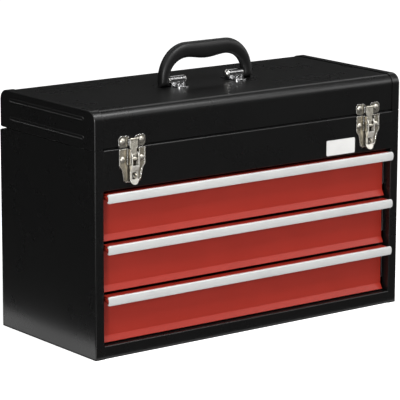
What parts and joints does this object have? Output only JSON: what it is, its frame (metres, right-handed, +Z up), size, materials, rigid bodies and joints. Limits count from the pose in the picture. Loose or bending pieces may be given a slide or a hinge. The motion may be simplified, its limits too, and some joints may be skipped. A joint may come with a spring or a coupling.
{
  "type": "portable tool chest with drawers",
  "caption": "Portable steel tool chest with drawers on ball slides, a hinged lid over a top compartment, draw latches and a folding carrying handle.",
  "frame": {"origin": "on the floor under the middle of the case", "axes": "+X to the right seen from the front, +Y to the back, +Z up"},
  "size_m": [0.5124, 0.2362, 0.38],
  "materials": {
    "case_black": "semi-gloss black powder coat",
    "box_black": "black powder coat on the drawer boxes",
    "front_red": "deep red powder coat",
    "pull_silver": "bright satin rolled channel",
    "slide_zinc": "zinc-plated roll-formed steel",
    "cage_steel": "bright steel balls in a stamped cage",
    "hinge_black": "black coated steel",
    "plate_white": "bare white name plate",
    "grip_black": "moulded black plastic",
    "pin_steel": "plain steel pin",
    "latch_nickel": "nickel-plated pressed steel"
  },
  "bodies": {
    "case": {"case_left_side": "case_black", "case_right_side": "case_black", "case_back": "case_black", "case_bottom": "case_black", "case_header": "case_black", "tray_floor": "case_black", "uprights_left": "slide_zinc", "uprights_right": "slide_zinc", "runner_left_1": "slide_zinc", "runner_right_1": "slide_zinc", "runner_left_2": "slide_zinc", "runner_right_2": "slide_zinc", "runner_left_3": "slide_zinc", "runner_right_3": "slide_zinc", "hinge_case_leaf": "hinge_black", "hinge_pin": "pin_steel", "hinge_case_rivets": "hinge_black", "name_plate": "plate_white", "latch_base_left": "latch_nickel", "latch_base_right": "latch_nickel", "latch_base_rivets": "latch_nickel", "latch_pivot_stubs": "latch_nickel"},
    "lid": {"lid_skin": "case_black", "lid_end_left": "case_black", "lid_end_right": "case_black", "hinge_lid_leaf": "hinge_black", "hinge_lid_rivets": "hinge_black", "keeper_left": "latch_nickel", "keeper_right": "latch_nickel", "keeper_rivets": "latch_nickel", "handle_bracket_left": "latch_nickel", "handle_bracket_right": "latch_nickel", "bracket_rivets": "latch_nickel"},
    "handle": {"handle_grip": "grip_black", "handle_stubs": "pin_steel"},
    "drawer_1": {"drawer_box_1": "box_black", "drawer_front_1": "front_red", "drawer_pull_1": "pull_silver", "drawer_members_1": "slide_zinc"},
    "drawer_2": {"drawer_box_2": "box_black", "drawer_front_2": "front_red", "drawer_pull_2": "pull_silver", "drawer_members_2": "slide_zinc"},
    "drawer_3": {"drawer_box_3": "box_black", "drawer_front_3": "front_red", "drawer_pull_3": "pull_silver", "drawer_members_3": "slide_zinc"},
    "cages_1": {"ball_cages_1": "cage_steel"},
    "cages_2": {"ball_cages_2": "cage_steel"},
    "cages_3": {"ball_cages_3": "cage_steel"},
    "lever_left": {"latch_lever_left": "latch_nickel", "latch_pin_left": "latch_nickel"},
    "lever_right": {"latch_lever_right": "latch_nickel", "latch_pin_right": "latch_nickel"},
    "hook_left": {"latch_hook_left": "latch_nickel"},
    "hook_right": {"latch_hook_right": "latch_nickel"}
  },
  "joints": [
    {"name": "lid_hinge", "type": "hinge", "parent": "case", "child": "lid", "pos_m": [0, 0.113, 0.274], "axis": [-1, 0, 0], "range_deg": [0, 100]},
    {"name": "handle_fold", "type": "hinge", "parent": "lid", "child": "handle", "pos_m": [0, -0.003, 0.3304], "axis": [1, 0, 0], "range_deg": [-88, 88]},
    {"name": "drawer_slide_1", "type": "slide", "parent": "case", "child": "drawer_1", "axis": [0, -1, 0], "range_m": [0, 0.125]},
    {"name": "drawer_slide_2", "type": "slide", "parent": "case", "child": "drawer_2", "axis": [0, -1, 0], "range_m": [0, 0.125]},
    {"name": "drawer_slide_3", "type": "slide", "parent": "case", "child": "drawer_3", "axis": [0, -1, 0], "range_m": [0, 0.125]},
    {"name": "cage_slide_1", "type": "slide", "parent": "case", "child": "cages_1", "axis": [0, -1, 0], "range_m": [0, 0.0625]},
    {"name": "cage_slide_2", "type": "slide", "parent": "case", "child": "cages_2", "axis": [0, -1, 0], "range_m": [0, 0.0625]},
    {"name": "cage_slide_3", "type": "slide", "parent": "case", "child": "cages_3", "axis": [0, -1, 0], "range_m": [0, 0.0625]},
    {"name": "lever_left_turn", "type": "hinge", "parent": "case", "child": "lever_left", "pos_m": [-0.1975, -0.1142, 0.265], "axis": [-1, 0, 0], "range_deg": [0, 110]},
    {"name": "hook_left_turn", "type": "hinge", "parent": "lever_left", "child": "hook_left", "pos_m": [-0.1975, -0.1142, 0.2585], "axis": [-1, 0, 0], "range_deg": [-110, 0]},
    {"name": "lever_right_turn", "type": "hinge", "parent": "case", "child": "lever_right", "pos_m": [0.1975, -0.1142, 0.265], "axis": [-1, 0, 0], "range_deg": [0, 110]},
    {"name": "hook_right_turn", "type": "hinge", "parent": "lever_right", "child": "hook_right", "pos_m": [0.1975, -0.1142, 0.2585], "axis": [-1, 0, 0], "range_deg": [-110, 0]}
  ],
  "couplings": [
    {"joint": "cage_slide_1", "follows": "drawer_slide_1", "ratio": 0.5},
    {"joint": "cage_slide_2", "follows": "drawer_slide_2", "ratio": 0.5},
    {"joint": "cage_slide_3", "follows": "drawer_slide_3", "ratio": 0.5},
    {"joint": "hook_left_turn", "follows": "lever_left_turn", "ratio": -1},
    {"joint": "hook_right_turn", "follows": "lever_right_turn", "ratio": -1}
  ]
}
